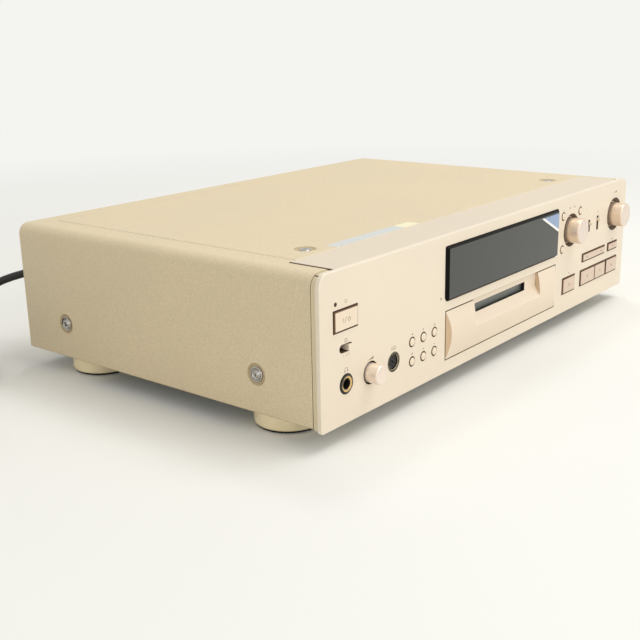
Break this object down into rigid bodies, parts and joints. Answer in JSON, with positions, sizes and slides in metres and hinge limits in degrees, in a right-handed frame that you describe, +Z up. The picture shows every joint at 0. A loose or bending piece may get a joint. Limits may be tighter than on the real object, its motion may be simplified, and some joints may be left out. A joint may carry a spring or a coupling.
{
  "type": "minidisc deck",
  "caption": "Full-width hi-fi disc cartridge recorder in champagne metal, with a display window, loading slot, knobs and keys, on round feet, with a mains cord.",
  "frame": {"origin": "under the middle of the deck, on the surface its feet stand on", "axes": "+Z up, -Y out of the front panel towards the user, +X to the right seen from the front"},
  "size_m": [0.5702, 0.3656, 0.1075],
  "materials": {
    "cover_paint": "fine textured satin champagne paint",
    "front_metal": "brushed and anodised champagne",
    "panel_plastic": "moulded champagne",
    "bezel_plastic": "satin champagne lacquer, slightly pink",
    "button_plastic": "satin champagne lacquer",
    "knob_metal": "turned and anodised, slightly pink",
    "foot_plastic": "satin champagne lacquer",
    "rubber": "dark rubber",
    "window_glass": "clear dark acrylic, polished",
    "tube_glass": "clear glass over a dark grid",
    "zinc_sheet": "zinc plated sheet",
    "screw_steel": "nickel plated",
    "dark_plastic": "moulded, dark",
    "jack_plastic": "moulded, dark",
    "grey_plastic": "moulded, grey",
    "lever_plastic": "moulded, pale",
    "board_green": "coated glass-fibre board",
    "motor_steel": "drawn steel can",
    "rod_steel": "ground steel",
    "iron_core": "laminated iron, varnished",
    "sink_aluminium": "extruded",
    "ribbon_plastic": "flat cable",
    "cord_rubber": "smooth dark sheath",
    "pin_brass": "plated brass"
  },
  "bodies": {
    "deck": {"top_cover": "cover_paint", "front_panel": "front_metal", "top_return": "front_metal", "front_sub_panel": "panel_plastic", "chassis_base": "zinc_sheet", "rear_panel": "cover_paint", "feet": "foot_plastic", "foot_pads": "rubber", "case_screws": "screw_steel", "display_window": "window_glass", "display_tube": "tube_glass", "control_boards": "board_green", "slot_bezel": "bezel_plastic", "slide_switches": "motor_steel", "phones_jack": "jack_plastic", "rotary_controls": "motor_steel", "keyboard_socket": "jack_plastic", "mech_chassis": "zinc_sheet", "mech_motors": "motor_steel", "guide_rods": "rod_steel", "circuit_boards": "board_green", "transformer": "iron_core", "heat_sink": "sink_aluminium", "ribbon_cable": "ribbon_plastic", "rear_sockets": "jack_plastic", "strain_relief": "dark_plastic", "power_cord": "cord_rubber", "cord_coil": "cord_rubber", "plug": "dark_plastic", "plug_pins": "pin_brass"},
    "power": {"power_button": "button_plastic"},
    "timer": {"timer_lever": "lever_plastic"},
    "phone_level": {"phone_level_knob": "knob_metal"},
    "jog_push": {"jog_plunger": "dark_plastic"},
    "jog": {"jog_knob": "knob_metal"},
    "input": {"input_lever": "lever_plastic"},
    "mode": {"mode_lever": "lever_plastic"},
    "rec_level": {"rec_level_knob": "knob_metal"},
    "search": {"search_rocker": "button_plastic"},
    "rec": {"rec_button": "button_plastic"},
    "play": {"play_button": "button_plastic"},
    "pause": {"pause_button": "button_plastic"},
    "stop": {"stop_button": "button_plastic"},
    "eject": {"eject_button": "button_plastic"},
    "door": {"slot_door": "grey_plastic"},
    "slider": {"loading_slider": "dark_plastic"},
    "holder": {"cartridge_holder": "zinc_sheet"},
    "turntable": {"spindle": "rod_steel"},
    "sled": {"pickup_sled": "dark_plastic"},
    "screw": {"lead_screw": "rod_steel"},
    "head": {"head_arm": "sink_aluminium"},
    "function_1": {"function_button_1": "button_plastic"},
    "function_2": {"function_button_2": "button_plastic"},
    "function_3": {"function_button_3": "button_plastic"},
    "function_4": {"function_button_4": "button_plastic"},
    "function_5": {"function_button_5": "button_plastic"},
    "function_6": {"function_button_6": "button_plastic"},
    "small_1": {"small_button_1": "button_plastic"},
    "small_2": {"small_button_2": "button_plastic"},
    "small_3": {"small_button_3": "button_plastic"}
  },
  "joints": [
    {"name": "power_press", "type": "slide", "parent": "deck", "child": "power", "axis": [0, 1, 0], "range_m": [0, 0.0008], "stiffness_N_per_m": 500},
    {"name": "timer_slide", "type": "slide", "parent": "deck", "child": "timer", "axis": [1, 0, 0], "range_m": [-0.0054, 0]},
    {"name": "phone_level_turn", "type": "hinge", "parent": "deck", "child": "phone_level", "pos_m": [-0.1666, -0.12, 0.037], "axis": [0, 1, 0], "range_deg": [-150, 150]},
    {"name": "function_press_1", "type": "slide", "parent": "deck", "child": "function_1", "axis": [0, 1, 0], "range_m": [0, 0.0008], "stiffness_N_per_m": 300},
    {"name": "function_press_2", "type": "slide", "parent": "deck", "child": "function_2", "axis": [0, 1, 0], "range_m": [0, 0.0008], "stiffness_N_per_m": 300},
    {"name": "function_press_3", "type": "slide", "parent": "deck", "child": "function_3", "axis": [0, 1, 0], "range_m": [0, 0.0008], "stiffness_N_per_m": 300},
    {"name": "function_press_4", "type": "slide", "parent": "deck", "child": "function_4", "axis": [0, 1, 0], "range_m": [0, 0.0008], "stiffness_N_per_m": 300},
    {"name": "function_press_5", "type": "slide", "parent": "deck", "child": "function_5", "axis": [0, 1, 0], "range_m": [0, 0.0008], "stiffness_N_per_m": 300},
    {"name": "function_press_6", "type": "slide", "parent": "deck", "child": "function_6", "axis": [0, 1, 0], "range_m": [0, 0.0008], "stiffness_N_per_m": 300},
    {"name": "jog_press", "type": "slide", "parent": "deck", "child": "jog_push", "axis": [0, 1, 0], "range_m": [0, 0.0008], "stiffness_N_per_m": 500},
    {"name": "jog_turn", "type": "hinge", "parent": "jog_push", "child": "jog", "pos_m": [0.1072, -0.12, 0.0789], "axis": [0, 1, 0], "continuous": true},
    {"name": "small_press_1", "type": "slide", "parent": "deck", "child": "small_1", "axis": [0, 1, 0], "range_m": [0, 0.0008], "stiffness_N_per_m": 300},
    {"name": "small_press_2", "type": "slide", "parent": "deck", "child": "small_2", "axis": [0, 1, 0], "range_m": [0, 0.0008], "stiffness_N_per_m": 300},
    {"name": "small_press_3", "type": "slide", "parent": "deck", "child": "small_3", "axis": [0, 1, 0], "range_m": [0, 0.0008], "stiffness_N_per_m": 300},
    {"name": "input_slide", "type": "slide", "parent": "deck", "child": "input", "axis": [0, 0, 1], "range_m": [-0.0039, 0]},
    {"name": "mode_slide", "type": "slide", "parent": "deck", "child": "mode", "axis": [0, 0, 1], "range_m": [-0.0059, 0]},
    {"name": "rec_level_turn", "type": "hinge", "parent": "deck", "child": "rec_level", "pos_m": [0.1915, -0.12, 0.0789], "axis": [0, 1, 0], "range_deg": [-150, 150]},
    {"name": "search_rock", "type": "hinge", "parent": "deck", "child": "search", "pos_m": [0.1528, -0.1313, 0.0511], "axis": [0, 0, 1], "range_deg": [-1.6, 1.6], "stiffness_Nm_per_rad": 0.5},
    {"name": "rec_press", "type": "slide", "parent": "deck", "child": "rec", "axis": [0, 1, 0], "range_m": [0, 0.0008], "stiffness_N_per_m": 500},
    {"name": "play_press", "type": "slide", "parent": "deck", "child": "play", "axis": [0, 1, 0], "range_m": [0, 0.0008], "stiffness_N_per_m": 500},
    {"name": "pause_press", "type": "slide", "parent": "deck", "child": "pause", "axis": [0, 1, 0], "range_m": [0, 0.0008], "stiffness_N_per_m": 500},
    {"name": "stop_press", "type": "slide", "parent": "deck", "child": "stop", "axis": [0, 1, 0], "range_m": [0, 0.0008], "stiffness_N_per_m": 500},
    {"name": "eject_press", "type": "slide", "parent": "deck", "child": "eject", "axis": [0, 1, 0], "range_m": [0, 0.0008], "stiffness_N_per_m": 500},
    {"name": "door_swing", "type": "hinge", "parent": "deck", "child": "door", "pos_m": [-0.003, -0.1346, 0.0532], "axis": [1, 0, 0], "range_deg": [0, 85], "stiffness_Nm_per_rad": 0.002, "springref_deg": -28.65},
    {"name": "holder_lower", "type": "slide", "parent": "deck", "child": "holder", "axis": [0, 0, 1], "range_m": [-0.0045, 0]},
    {"name": "slider_move", "type": "slide", "parent": "deck", "child": "slider", "axis": [0, 1, 0], "range_m": [0, 0.015]},
    {"name": "spindle_spin", "type": "hinge", "parent": "deck", "child": "turntable", "pos_m": [-0.003, -0.089, 0.038], "axis": [0, 0, 1], "continuous": true},
    {"name": "sled_move", "type": "slide", "parent": "deck", "child": "sled", "axis": [0, 1, 0], "range_m": [0, 0.015]},
    {"name": "screw_spin", "type": "hinge", "parent": "deck", "child": "screw", "pos_m": [0.023, -0.06, 0.0315], "axis": [0, 1, 0], "range_deg": [0, 1801]},
    {"name": "head_lift", "type": "hinge", "parent": "deck", "child": "head", "pos_m": [-0.003, -0.036, 0.0585], "axis": [1, 0, 0], "range_deg": [-3, 0]}
  ],
  "couplings": [
    {"joint": "slider_move", "follows": "holder_lower", "ratio": -3.3333},
    {"joint": "screw_spin", "follows": "sled_move", "rad_per_m": 2094.4}
  ]
}
